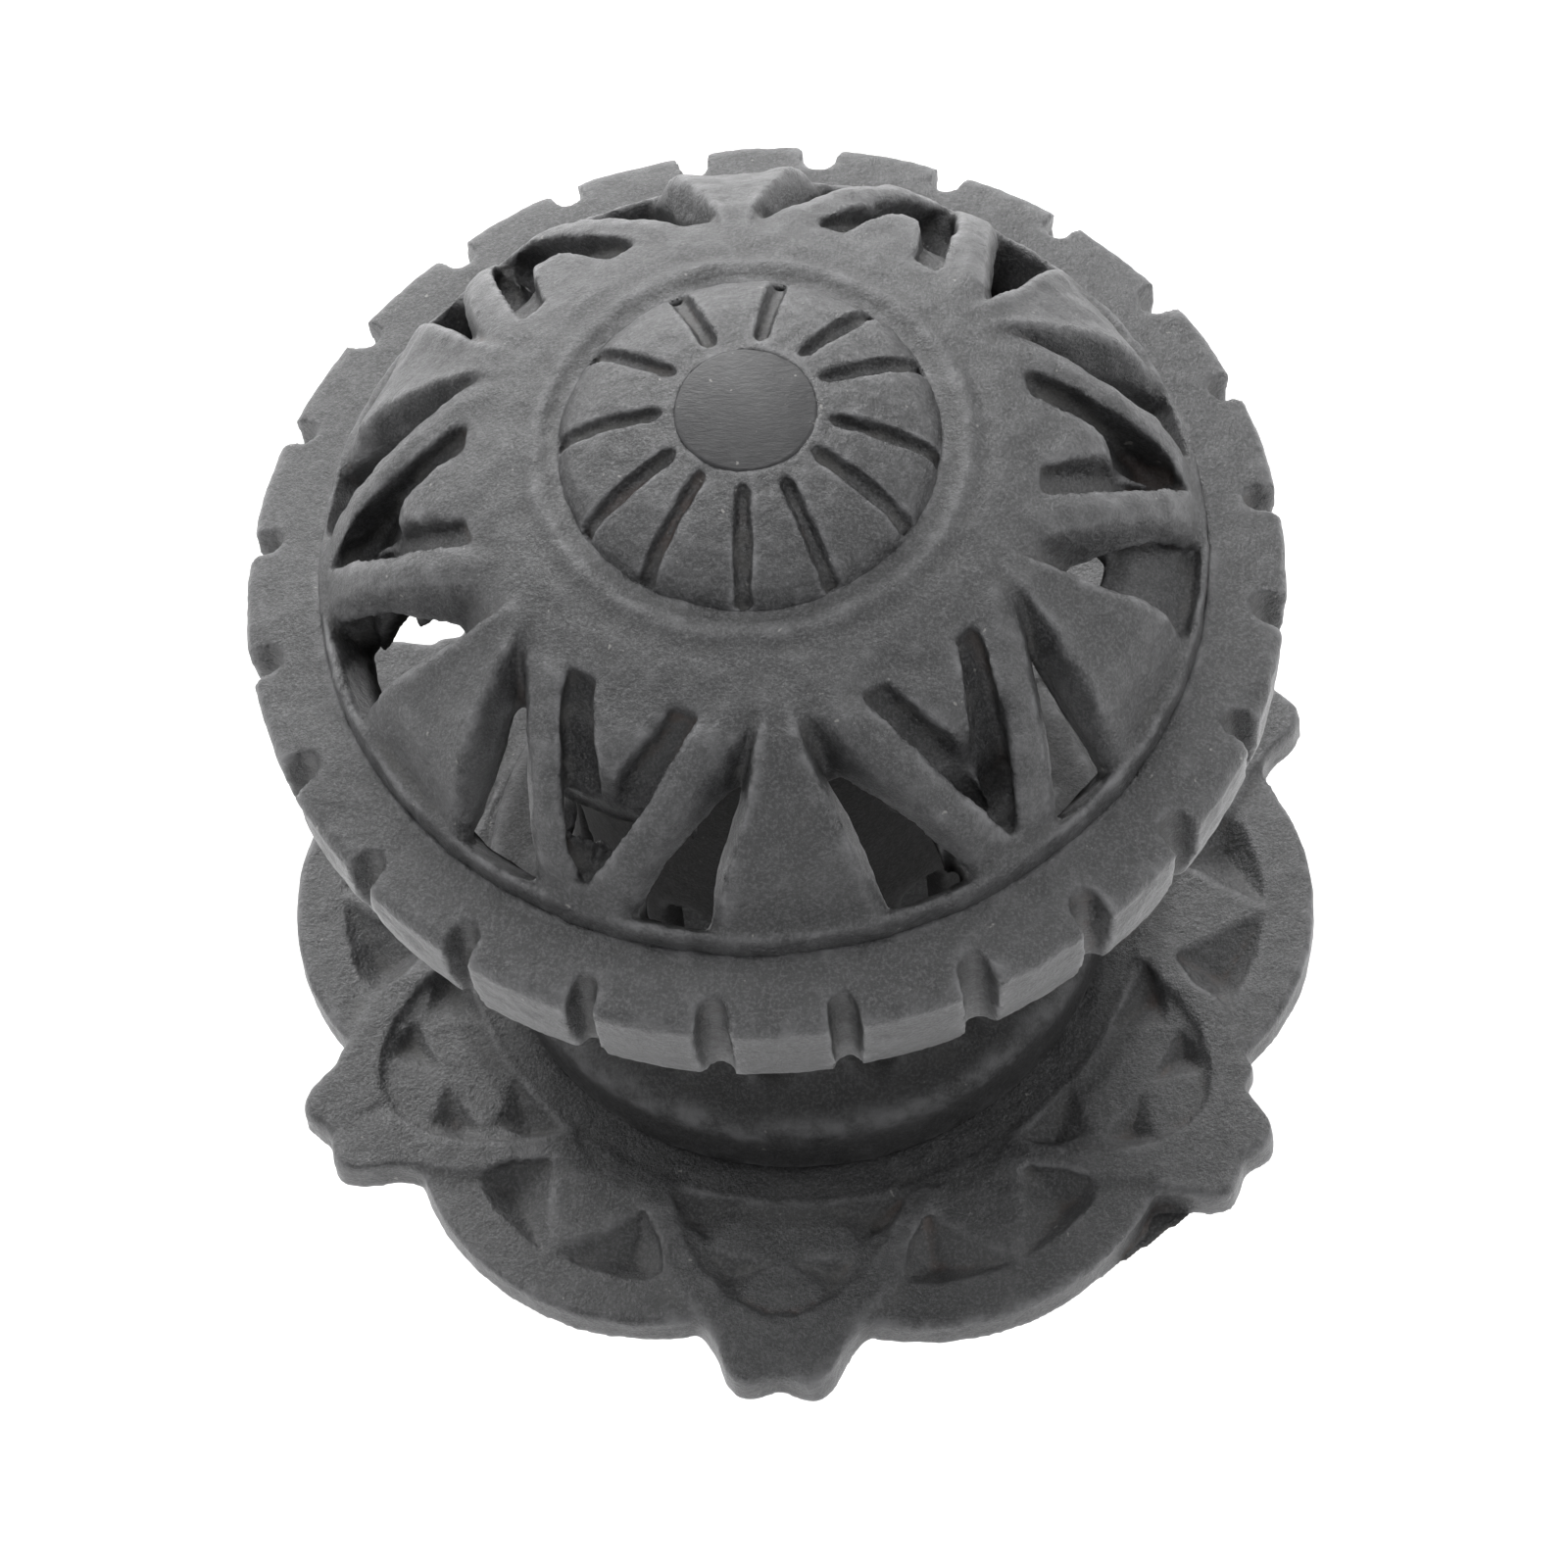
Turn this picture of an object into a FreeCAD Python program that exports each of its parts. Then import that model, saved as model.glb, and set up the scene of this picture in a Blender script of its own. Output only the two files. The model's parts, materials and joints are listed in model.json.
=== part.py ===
"""Gothic centre door pull: a pierced cast-iron knob on a traceried rose, held by one bolt through the door.

Frame: origin at the centre of the rose's back face, where it meets the door.
+Z points out of the door along the knob's axis; one tip of the rose points along -Y.
All sizes are in millimetres, all angles in degrees.
"""
import FreeCAD
import Part
import math
import os

from FreeCAD import Vector

# ---------------------------------------------------------------- driving dimensions
# Rose (the plate against the door)
rose_thickness = 4.5
rose_sectors = 6
lobe_radius = 25.0
lobe_centre_radius = 27.2
tip_reach = 55.4
tip_horn_half_width = 5.6
tip_horn_depth = 2.4
tip_dip = 0.8
tip_root_half_angle = 9.5
relief_depth = 1.2
lobe_band_width = 5.5
arch_band_width = 3.4
arch_apex_radius = 51.5
arch_foot_radius = 34.0
arch_foot_half_width = 13.5
arch_bulge = 1.8
seat_radius = 35.0
seat_sink = 0.5

# Neck (the hollow stem between rose and head)
spigot_radius = 13.0
spigot_depth = 2.6
spigot_running_clearance = 0.05
collar_radius = 31.9
collar_height = 9.3
collar_edge_round = 1.2
collar_foot_chamfer = 1.0
collar_ledge = 1.0
cove_step = 0.2
neck_radius = 21.5
neck_wall = 2.9
neck_floor_top = 12.0
neck_floor_flare = 6.0
neck_floor_flare_height = 10.0
neck_cove_top = 29.0
neck_top_flange_height = 7.0
neck_top_flange_inner = 13.5
neck_top_flange_slope = 4.0
window_count = 16
window_half_angle = 7.2
window_foot_z = 18.0
window_head_z = 34.0
window_turn = -2.0

# Head: rim ring and dome
rim_radius = 50.4
rim_foot_radius = 48.6
rim_bottom_z = 55.9
rim_top_z = 67.8
rim_inner_top_z = 69.8
rim_inner_radius = 41.0
rim_ledge_z = 66.0
rim_edge_round = 0.8
rim_foot_bevel_width = 1.6
rim_foot_bevel_height = 1.2
rim_inner_chamfer = 1.0
notch_count = 24
notch_width = 2.8
notch_depth = 2.6
notch_lead = 4.0
dome_edge_radius = 43.3
dome_edge_top_z = 73.0
dome_edge_clearance = 0.1
dome_skirt_end_radius = 26.0
dome_skirt_end_z = 89.8
dome_upper_radius = 31.0
dome_upper_z = 87.0
dome_middle_radius = 36.0
dome_middle_z = 83.4
dome_shoulder_radius = 40.4
dome_shoulder_z = 78.4
dome_shell = 5.0
dome_under_radius = 36.0
dome_under_z = 73.5
dome_under_top_radius = 30.0
dome_under_top_z = 79.8
dome_lip_width = 0.8
dome_lip_drop = 0.6
hub_foot_margin = 2.8
skirt_radius = 22.3
skirt_z = 90.3
bead_height = 1.2
bead_inner_radius = 19.6
bead_foot_rise = 0.6
bead_side_slope = 0.5
hub_thickness = 7.5
petal_count = 6
petal_apex_half_angle = 4.4
petal_foot_half_angle = 11.6
opening_outer_radius = 41.6
opening_apex_radius = 29.6
opening_apex_bar_gap = 7.6
opening_apex_petal_gap = 2.0
bar_mid_radius = 35.2
bar_outer_mid_angle = 13.8
bar_outer_foot_angle = 5.6
bar_inner_mid_angle = 8.1
bar_inner_mid_radius = 34.2
arch_hole_apex_radius = 40.6
arm_end_radius = 28.4
arm_outer_angle = 14.2
arm_inner_angle = 7.7
tongue_tip_radius = 33.4
arm_end_slope = 0.5
arm_depth = 2.4
arch_through_radius = 35.2
arch_through_half_angle = 3.4
arch_through_side = 0.6
arch_through_apex_gap = 2.2
knob_turn = 7.5

# Wheel boss and bolt
boss_radius = 18.6
boss_edge_z = 93.6
boss_crown_z = 98.4
boss_crown_bulge = 0.8
boss_edge_width = 0.9
boss_edge_rise = 0.8
boss_seat_clearance = 0.1
boss_spokes = 12
spoke_width = 1.4
spoke_depth = 0.9
spoke_inner_radius = 8.0
spoke_outer_radius = 17.6
spoke_turn = 19.0
bolt_head_radius = 7.0
bolt_head_height = 4.0
bolt_head_proud = 0.4
bolt_head_gap = 0.1
bolt_square = 9.6
bolt_square_height = 3.0
bolt_shank_radius = 5.0
bolt_shoulder_z = 0.8
bolt_tail_radius = 4.0
bolt_thread_radius = 3.92
bolt_plain_length = 33.0
bolt_end_chamfer = 1.0
hole_clearance = 0.3

# Fastenings inside the knob
hub_nut_flats = 16.0
hub_nut_height = 4.0
hub_washer_radius = 9.0
hub_washer_thickness = 1.4
nut_pocket_clearance = 0.5
nut_pocket_spare = 1.0
boss_sink = 0.3
thread_gap = 0.05
dowel_radius = 1.5
dowel_length = 8.0
dowel_count = 3
dowel_gap = 0.02
dowel_end_room = 0.4
hub_dowel_circle = 17.4
rim_pin_radius = 0.6
rim_pin_length = 5.0
rim_pin_count = 6
rim_pin_inset = 1.15

# Fastenings on the inside of the door
door_thickness = 44.0
door_thickest = 55.0
back_washer_radius = 15.0
back_washer_thickness = 2.5
spring_washer_radius = 7.4
spring_washer_thickness = 2.1
spring_washer_split = 1.4
back_nut_flats = 13.0
back_nut_height = 6.5
washer_clearance = 0.35
thread_spare = 3.0

# Cutting bodies run past the face they cut by this much
overrun = 1.0
far_overrun = 4.0

# ---------------------------------------------------------------- derived places
rose_seat_z = rose_thickness - seat_sink
collar_top_z = rose_seat_z + collar_height
boss_seat_z = skirt_z - boss_sink
hub_bottom_z = boss_seat_z - hub_thickness
neck_inner_radius = neck_radius - neck_wall
bolt_head_top_z = boss_crown_z + bolt_head_proud
bolt_head_bottom_z = bolt_head_top_z - bolt_head_height
nut_pocket_radius = hub_nut_flats / math.sqrt(3) + nut_pocket_clearance
hub_stack = hub_nut_height + hub_washer_thickness
nut_pocket_top_z = rose_seat_z - spigot_depth + hub_stack + nut_pocket_spare
spring_washer_top_z = -door_thickness - back_washer_thickness
back_nut_top_z = spring_washer_top_z - spring_washer_thickness
stack_below_door = back_washer_thickness + spring_washer_thickness + back_nut_height
bolt_end_z = -(door_thickest + stack_below_door + thread_spare)

UP = Vector(0, 0, 1)
CENTRE = Vector(0, 0, 0)


# ---------------------------------------------------------------- small tools
def polar(radius, angle, z=0.0):
    """Point at a radius and an angle in degrees."""
    return Vector(radius * math.cos(math.radians(angle)), radius * math.sin(math.radians(angle)), z)


def turned(shape, angle):
    """Copy of a shape turned about the knob's axis."""
    copy = shape.copy()
    copy.rotate(CENTRE, UP, angle)
    return copy


def around(shape, count, start=0.0):
    """Copies of a shape spaced evenly round the axis."""
    return [turned(shape, start + step * 360.0 / count) for step in range(count)]


def disc(radius, bottom, top, hole=0.0):
    """Round disc or ring between two heights."""
    solid = Part.makeCylinder(radius, top - bottom, Vector(0, 0, bottom))
    if hole > 0:
        solid = solid.cut(Part.makeCylinder(hole, top - bottom, Vector(0, 0, bottom)))
    return solid


def face_of(edges):
    return Part.Face(Part.Wire(edges))


def turned_profile(points):
    """Solid of revolution about Z from (radius, height) corners."""
    corners = [Vector(radius, 0, height) for radius, height in points]
    outline = Part.makePolygon(corners + [corners[0]])
    return Part.Face(outline).revolve(CENTRE, UP, 360)


def prism(points, bottom, top):
    """Upright prism over plan points."""
    corners = [Vector(point.x, point.y, bottom) for point in points]
    outline = Part.makePolygon(corners + [corners[0]])
    return Part.Face(outline).extrude(Vector(0, 0, top - bottom))


def hexagon(flats, bottom, top, hole):
    corners = [polar(flats / math.sqrt(3), 60 * step) for step in range(6)]
    return prism(corners, bottom, top).cut(disc(hole, bottom, top))


def whole(shape):
    """One clean solid."""
    clean = shape.removeSplitter()
    return clean.Solids[0] if len(clean.Solids) == 1 else clean


# ---------------------------------------------------------------- rose
def lobe_reach(offset):
    """Radius of a lobe's outline at an angle from the lobe's own middle line."""
    along = lobe_centre_radius * math.cos(math.radians(offset))
    across = lobe_centre_radius * math.sin(math.radians(offset))
    return along + math.sqrt(lobe_radius ** 2 - across ** 2)


def rose_outline():
    """Six tips with two small horns each, joined by six round lobes."""
    half_sector = 180.0 / rose_sectors
    root_radius = lobe_reach(half_sector - tip_root_half_angle)
    edges = []
    for sector in range(rose_sectors):
        axis = -90.0 + sector * 360.0 / rose_sectors
        out = polar(1, axis)
        side = polar(1, axis + 90)
        root_left = polar(root_radius, axis - tip_root_half_angle)
        root_right = polar(root_radius, axis + tip_root_half_angle)
        shoulder = tip_reach - tip_horn_depth
        points = [root_left]
        points.append(out * shoulder - side * tip_horn_half_width)
        points.append(out * tip_reach - side * (tip_horn_half_width - tip_horn_depth / 2))
        points.append(out * (tip_reach - tip_dip))
        points.append(out * tip_reach + side * (tip_horn_half_width - tip_horn_depth / 2))
        points.append(out * shoulder + side * tip_horn_half_width)
        points.append(root_right)
        for start, end in zip(points, points[1:]):
            edges.append(Part.LineSegment(start, end).toShape())
        next_root = polar(root_radius, axis + 2 * half_sector - tip_root_half_angle)
        lobe_top = polar(lobe_centre_radius + lobe_radius, axis + half_sector)
        edges.append(Part.Arc(root_right, lobe_top, next_root).toShape())
    return face_of(edges)


def pointed_arch(inset, bottom, top):
    """Prism with the plan of the arch behind a tip, made smaller by an inset."""
    apex = Vector(0, -(arch_apex_radius - inset * 1.4), bottom)
    foot_y = -(arch_foot_radius + inset * 0.5)
    half_foot = arch_foot_half_width - inset
    edges = []
    for sign in (1, -1):
        foot = Vector(sign * half_foot, foot_y, bottom)
        chord = apex - foot
        normal = Vector(-chord.y, chord.x, 0)
        normal.normalize()
        if normal.x * sign < 0:
            normal = normal * -1
        middle = (apex + foot) * 0.5 + normal * arch_bulge
        edges.append(Part.Arc(apex, middle, foot).toShape())
    left = Vector(-half_foot, foot_y, bottom)
    right = Vector(half_foot, foot_y, bottom)
    edges.append(Part.LineSegment(right, left).toShape())
    outline = Part.Wire(Part.__sortEdges__(edges))
    return Part.Face(outline).extrude(Vector(0, 0, top - bottom))


def make_rose():
    plate = rose_outline().extrude(Vector(0, 0, rose_thickness))
    floor = rose_thickness - relief_depth
    over = rose_thickness + overrun
    plain_seat = disc(seat_radius + seat_sink, floor - overrun, over + overrun)
    half_sector = 180.0 / rose_sectors
    arch = pointed_arch(0, floor, over)
    arch_panel = pointed_arch(arch_band_width, floor, over).cut(plain_seat)
    lobe_centre = polar(lobe_centre_radius, -90 + half_sector)
    lobe_panel = Part.makeCylinder(lobe_radius - lobe_band_width, over - floor,
                                   Vector(lobe_centre.x, lobe_centre.y, floor))
    lobe_panel = lobe_panel.cut(plain_seat).cut(arch).cut(turned(arch, 360.0 / rose_sectors))
    for panel in around(arch_panel, rose_sectors) + around(lobe_panel, rose_sectors):
        plate = plate.cut(panel)
    plate = plate.cut(disc(seat_radius, rose_seat_z, over))
    eye = disc(spigot_radius + spigot_running_clearance, -overrun, over)
    return whole(plate.cut(eye))


# ---------------------------------------------------------------- neck
def neck_window():
    """Round-ended window whose sides run to the axis, along +X."""
    spread = math.tan(math.radians(window_half_angle))
    near = neck_inner_radius / 2
    far = collar_radius + overrun
    ends = []
    for height in (window_foot_z, window_head_z):
        start = Vector(near, 0, height)
        ends.append(Part.makeCone(near * spread, far * spread, far - near, start, Vector(1, 0, 0)))
    corners = [Vector(near, -near * spread, window_foot_z), Vector(far, -far * spread, window_foot_z)]
    corners += [Vector(far, far * spread, window_foot_z), Vector(near, near * spread, window_foot_z)]
    middle = prism(corners, window_foot_z, window_head_z)
    return ends[0].fuse(middle).fuse(ends[1])


def make_neck():
    round_edge = collar_edge_round
    outside = [(0, rose_seat_z), (collar_radius - collar_foot_chamfer, rose_seat_z)]
    outside += [(collar_radius, rose_seat_z + collar_foot_chamfer)]
    outside += [(collar_radius, collar_top_z - round_edge), (collar_radius - round_edge, collar_top_z)]
    cove_steps = 8
    cove_radius = collar_radius - round_edge - collar_ledge - neck_radius
    cove_height = neck_cove_top - collar_top_z
    for step in range(cove_steps + 1):
        angle = math.radians(90.0 * step / cove_steps)
        radius = neck_radius + cove_radius * (1 - math.sin(angle))
        outside.append((radius, collar_top_z + cove_step + cove_height * (1 - math.cos(angle))))
    outside += [(neck_radius, hub_bottom_z), (0, hub_bottom_z)]
    neck = turned_profile(outside)
    neck = neck.fuse(disc(spigot_radius, rose_seat_z - spigot_depth, rose_seat_z + overrun))
    flange_bottom = hub_bottom_z - neck_top_flange_height
    inside = [(0, neck_floor_top), (neck_inner_radius + neck_floor_flare, neck_floor_top)]
    inside += [(neck_inner_radius, neck_floor_top + neck_floor_flare_height)]
    inside += [(neck_inner_radius, flange_bottom - neck_top_flange_slope)]
    inside += [(neck_top_flange_inner, flange_bottom), (neck_top_flange_inner, hub_bottom_z + overrun)]
    inside += [(0, hub_bottom_z + overrun)]
    neck = neck.cut(turned_profile(inside))
    neck = neck.cut(disc(bolt_shank_radius + hole_clearance, 0, neck_floor_top + overrun))
    neck = neck.cut(disc(nut_pocket_radius, 0, nut_pocket_top_z))
    for window in around(neck_window(), window_count, window_turn):
        neck = neck.cut(window)
    for hole in dowel_holes():
        neck = neck.cut(hole)
    return whole(neck)


def dowel_set(radius, length):
    """Upright dowels centred on the joint between neck and dome."""
    pin = Part.makeCylinder(radius, length, Vector(hub_dowel_circle, 0, hub_bottom_z - length / 2))
    return around(pin, dowel_count, knob_turn)


def dowel_holes():
    return dowel_set(dowel_radius + dowel_gap, dowel_length + dowel_end_room)


# ---------------------------------------------------------------- head
def make_rim_ring():
    ledge_radius = dome_edge_radius + dome_edge_clearance
    band_slope = (rim_inner_top_z - rim_top_z) / (rim_radius - ledge_radius)
    profile = [(rim_inner_radius, rim_bottom_z + rim_inner_chamfer), (rim_inner_radius, rim_ledge_z)]
    profile += [(ledge_radius, rim_ledge_z), (ledge_radius, rim_inner_top_z)]
    profile += [(rim_radius - rim_edge_round, rim_top_z + rim_edge_round * band_slope)]
    profile += [(rim_radius, rim_top_z - rim_edge_round)]
    profile += [(rim_foot_radius, rim_bottom_z + rim_foot_bevel_height)]
    profile += [(rim_foot_radius - rim_foot_bevel_width, rim_bottom_z)]
    profile += [(rim_inner_radius + rim_inner_chamfer, rim_bottom_z)]
    ring = turned_profile(profile)
    half = notch_width / 2
    height = rim_inner_top_z - rim_bottom_z + 2 * overrun
    bottom = rim_bottom_z - overrun
    slot_end = rim_radius - notch_depth + half
    slot = Part.makeCylinder(half, height, Vector(slot_end, 0, bottom))
    mouth = rim_radius + overrun - slot_end
    slot = slot.fuse(Part.makeBox(mouth, notch_width, height, Vector(slot_end, -half, bottom)))
    for notch in around(slot, notch_count, knob_turn + notch_lead):
        ring = ring.cut(notch)
    for hole in rim_pin_holes():
        ring = ring.cut(hole)
    return whole(ring)


def rim_pin_set(radius, length):
    """Upright pins centred on the ledge where the dome's edge sits in the ring."""
    foot = Vector(dome_edge_radius - rim_pin_inset, 0, rim_ledge_z - length / 2)
    pin = Part.makeCylinder(radius, length, foot)
    return around(pin, rim_pin_count, knob_turn + 180.0 / rim_pin_count)


def rim_pin_holes():
    return rim_pin_set(rim_pin_radius + dowel_gap, rim_pin_length + dowel_end_room)


def dome_surface(sink):
    """(radius, height) line of the dome's rounded slope, lowered by a depth."""
    line = [(dome_skirt_end_radius, dome_skirt_end_z), (dome_upper_radius, dome_upper_z)]
    line += [(dome_middle_radius, dome_middle_z), (dome_shoulder_radius, dome_shoulder_z)]
    line += [(dome_edge_radius - dome_lip_width, dome_edge_top_z)]
    return [(radius, height - sink) for radius, height in line]


def layer(depth):
    """Everything above the dome's slope lowered by a depth."""
    line = dome_surface(depth)
    top = bolt_head_top_z + far_overrun
    return turned_profile(line + [(line[-1][0], top), (line[0][0], top)])


def rim_opening(edge, bottom):
    """Three-cornered opening between an arch bar at 0 degrees and the petal beside it."""
    petal_angle = 180.0 / petal_count
    plan = [polar(opening_apex_radius, petal_angle - opening_apex_bar_gap)]
    plan.append(polar(bar_mid_radius, bar_outer_mid_angle))
    plan.append(polar(edge, bar_outer_foot_angle))
    plan.append(polar(edge, (bar_outer_foot_angle + petal_angle - petal_foot_half_angle) / 2))
    plan.append(polar(edge, petal_angle - petal_foot_half_angle))
    plan.append(polar(opening_apex_radius, petal_angle - petal_apex_half_angle - opening_apex_petal_gap))
    return prism(plan, bottom, dome_skirt_end_z + far_overrun)


def arch_recess():
    """Plan of the arrow-shaped recess under an arch: two arms that straddle a tongue."""
    plan = [polar(arch_hole_apex_radius, 0)]
    plan.append(polar(bar_inner_mid_radius, bar_inner_mid_angle))
    plan.append(polar(arm_end_radius, arm_outer_angle))
    plan.append(polar(arm_end_radius - arm_end_slope, arm_inner_angle))
    plan.append(polar(tongue_tip_radius, 0))
    plan.append(polar(arm_end_radius - arm_end_slope, -arm_inner_angle))
    plan.append(polar(arm_end_radius, -arm_outer_angle))
    plan.append(polar(bar_inner_mid_radius, -bar_inner_mid_angle))
    return plan


def make_dome():
    slope = dome_surface(0)
    bottom_line = dome_edge_radius - dome_shell
    bore = bolt_shank_radius + hole_clearance
    bead_top = skirt_z + bead_height
    profile = [(bore, hub_bottom_z), (bore, boss_seat_z), (boss_radius + boss_seat_clearance, boss_seat_z)]
    profile += [(bead_inner_radius, boss_seat_z + bead_foot_rise)]
    profile += [(bead_inner_radius + bead_side_slope, bead_top), (skirt_radius - bead_side_slope, bead_top)]
    profile += [(skirt_radius, skirt_z)]
    profile += slope
    profile += [(dome_edge_radius, dome_edge_top_z - dome_lip_drop), (dome_edge_radius, rim_ledge_z)]
    profile += [(bottom_line, rim_ledge_z), (dome_under_radius, dome_under_z)]
    profile += [(dome_under_top_radius, dome_under_top_z), (neck_radius + hub_foot_margin, hub_bottom_z)]
    dome = turned_profile(profile)
    opening = rim_opening(opening_outer_radius, rim_ledge_z - overrun)
    opening = opening.fuse(rim_opening(dome_edge_radius - dome_lip_width, dome_edge_top_z))
    mirrored = opening.mirror(CENTRE, Vector(0, 1, 0))
    recess_plan = arch_recess()
    arms = prism(recess_plan, rim_ledge_z, dome_skirt_end_z + far_overrun).common(layer(arm_depth))
    side = arch_through_radius + arch_through_side
    through_plan = [polar(arch_hole_apex_radius - arch_through_apex_gap, 0)]
    through_plan += [polar(side, arch_through_half_angle), polar(arch_through_radius, 0)]
    through_plan += [polar(side, -arch_through_half_angle)]
    through = prism(through_plan, rim_ledge_z - overrun, dome_skirt_end_z + far_overrun)
    for cutter in (opening, mirrored, arms, through):
        for copy in around(cutter, petal_count, knob_turn):
            dome = dome.cut(copy)
    for hole in dowel_holes():
        dome = dome.cut(hole)
    for hole in rim_pin_holes():
        dome = dome.cut(hole)
    return whole(dome)


def boss_line(sink):
    """(radius, height) points across the boss's crown, lowered by a depth."""
    points = []
    steps = 6
    start = bolt_head_radius
    end = boss_radius - boss_edge_width
    for step in range(steps + 1):
        share = step / steps
        height = boss_crown_z + (boss_edge_z + boss_edge_rise - boss_crown_z) * share
        height += boss_crown_bulge * math.sin(math.pi * share)
        points.append((start + (end - start) * share, height - sink))
    return points


def make_wheel_boss():
    profile = [(0, boss_seat_z), (boss_radius, boss_seat_z), (boss_radius, boss_edge_z)]
    profile += list(reversed(boss_line(0))) + [(0, boss_crown_z)]
    boss = turned_profile(profile)
    head_top = bolt_head_top_z + overrun
    boss = boss.cut(disc(bolt_head_radius + bolt_head_gap, bolt_head_bottom_z, head_top))
    half = bolt_square / 2 + bolt_head_gap
    square_foot = Vector(-half, -half, bolt_head_bottom_z - bolt_square_height)
    square = Part.makeBox(2 * half, 2 * half, bolt_square_height, square_foot)
    boss = boss.cut(turned(square, knob_turn))
    boss = boss.cut(disc(bolt_shank_radius + hole_clearance, boss_seat_z - overrun, bolt_head_top_z))
    low = boss_line(spoke_depth)
    crown_top = boss_crown_z + far_overrun
    crown = turned_profile([(0, low[0][1])] + low + [(low[-1][0], crown_top), (0, crown_top)])
    length = spoke_outer_radius - spoke_inner_radius
    bar_bottom = boss_edge_z - spoke_depth - overrun
    bar_foot = Vector(spoke_inner_radius, -spoke_width / 2, bar_bottom)
    bar = Part.makeBox(length, spoke_width, crown_top - bar_bottom, bar_foot)
    groove = bar.common(crown)
    for copy in around(groove, boss_spokes, knob_turn + spoke_turn):
        boss = boss.cut(copy)
    return whole(boss)


# ---------------------------------------------------------------- bolt and fastenings
def make_bolt():
    profile = [(0, bolt_end_z), (bolt_thread_radius - bolt_end_chamfer, bolt_end_z)]
    profile += [(bolt_thread_radius, bolt_end_z + bolt_end_chamfer), (bolt_thread_radius, -bolt_plain_length)]
    profile += [(bolt_tail_radius, -bolt_plain_length), (bolt_tail_radius, bolt_shoulder_z)]
    profile += [(bolt_shank_radius, bolt_shoulder_z), (bolt_shank_radius, bolt_head_bottom_z)]
    profile += [(bolt_head_radius, bolt_head_bottom_z), (bolt_head_radius, bolt_head_top_z)]
    profile.append((0, bolt_head_top_z))
    bolt = turned_profile(profile)
    half = bolt_square / 2
    square = Part.makeBox(bolt_square, bolt_square, bolt_square_height,
                          Vector(-half, -half, bolt_head_bottom_z - bolt_square_height))
    return whole(bolt.fuse(turned(square, knob_turn)))


def make_hub_washer():
    return disc(hub_washer_radius, nut_pocket_top_z - hub_washer_thickness, nut_pocket_top_z,
                bolt_shank_radius + washer_clearance)


def make_hub_nut():
    top = nut_pocket_top_z - hub_washer_thickness
    return hexagon(hub_nut_flats, top - hub_nut_height, top, bolt_shank_radius + thread_gap)


def make_back_washer():
    hole = bolt_thread_radius + washer_clearance
    return disc(back_washer_radius, spring_washer_top_z, -door_thickness, hole)


def make_spring_washer():
    hole = bolt_thread_radius + washer_clearance
    ring = disc(spring_washer_radius, back_nut_top_z, spring_washer_top_z, hole)
    half = spring_washer_split / 2
    split = Part.makeBox(spring_washer_radius + overrun, spring_washer_split, spring_washer_thickness,
                         Vector(0, -half, back_nut_top_z))
    return whole(ring.cut(split))


def make_back_nut():
    bottom = back_nut_top_z - back_nut_height
    return hexagon(back_nut_flats, bottom, back_nut_top_z, bolt_thread_radius + thread_gap)


def main():
    os.makedirs("parts", exist_ok=True)
    nodes = {
        "rose": make_rose(),
        "neck": make_neck(),
        "rim_ring": make_rim_ring(),
        "pierced_dome": make_dome(),
        "wheel_boss": make_wheel_boss(),
        "through_bolt": make_bolt(),
        "hub_washer": make_hub_washer(),
        "hub_nut": make_hub_nut(),
        "hub_dowels": Part.makeCompound(dowel_set(dowel_radius, dowel_length)),
        "rim_pins": Part.makeCompound(rim_pin_set(rim_pin_radius, rim_pin_length)),
        "back_washer": make_back_washer(),
        "spring_washer": make_spring_washer(),
        "back_nut": make_back_nut(),
    }
    for name, shape in nodes.items():
        box = shape.BoundBox
        print(f"{name:14s} solids {len(shape.Solids)} valid {shape.isValid()} volume {shape.Volume:9.1f}"
              f" z {box.ZMin:7.2f} to {box.ZMax:6.2f} reach {max(box.XMax, box.YMax):5.1f}")
        shape.exportStep(f"parts/{name}.step")


main()
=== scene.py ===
# %% [markdown]
# # Gothic centre door pull
# A cast-iron knob stands on a pierced rose in the middle of a front door. This lesson builds what shows
# of it: the rose, the hollow neck, the notched rim, the pierced dome, the wheel-shaped boss and the bolt
# that holds it all. The frame brings in the plain solids, which keep their places. The castings here are
# drawn over them in more detail.

# %% Start the frame
import bpy
import bmesh
import json
import math
import random
import numpy as np
from mathutils import Matrix, Vector, noise

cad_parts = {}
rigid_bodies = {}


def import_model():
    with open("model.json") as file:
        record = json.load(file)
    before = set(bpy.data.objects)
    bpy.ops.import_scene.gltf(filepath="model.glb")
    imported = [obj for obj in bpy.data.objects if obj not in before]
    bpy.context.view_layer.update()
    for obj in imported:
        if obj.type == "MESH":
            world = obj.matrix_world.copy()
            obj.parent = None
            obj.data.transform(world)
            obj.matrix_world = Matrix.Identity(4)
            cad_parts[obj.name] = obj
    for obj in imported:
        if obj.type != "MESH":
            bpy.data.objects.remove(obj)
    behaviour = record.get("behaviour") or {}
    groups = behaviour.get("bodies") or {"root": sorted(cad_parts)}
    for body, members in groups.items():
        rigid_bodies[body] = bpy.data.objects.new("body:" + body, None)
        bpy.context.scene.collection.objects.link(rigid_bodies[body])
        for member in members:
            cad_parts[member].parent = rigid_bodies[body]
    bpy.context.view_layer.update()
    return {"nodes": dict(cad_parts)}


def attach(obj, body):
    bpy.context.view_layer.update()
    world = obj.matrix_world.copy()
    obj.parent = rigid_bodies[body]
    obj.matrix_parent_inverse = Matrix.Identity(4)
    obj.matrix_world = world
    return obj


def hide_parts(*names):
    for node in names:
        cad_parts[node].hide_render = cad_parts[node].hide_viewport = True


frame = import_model()
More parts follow.
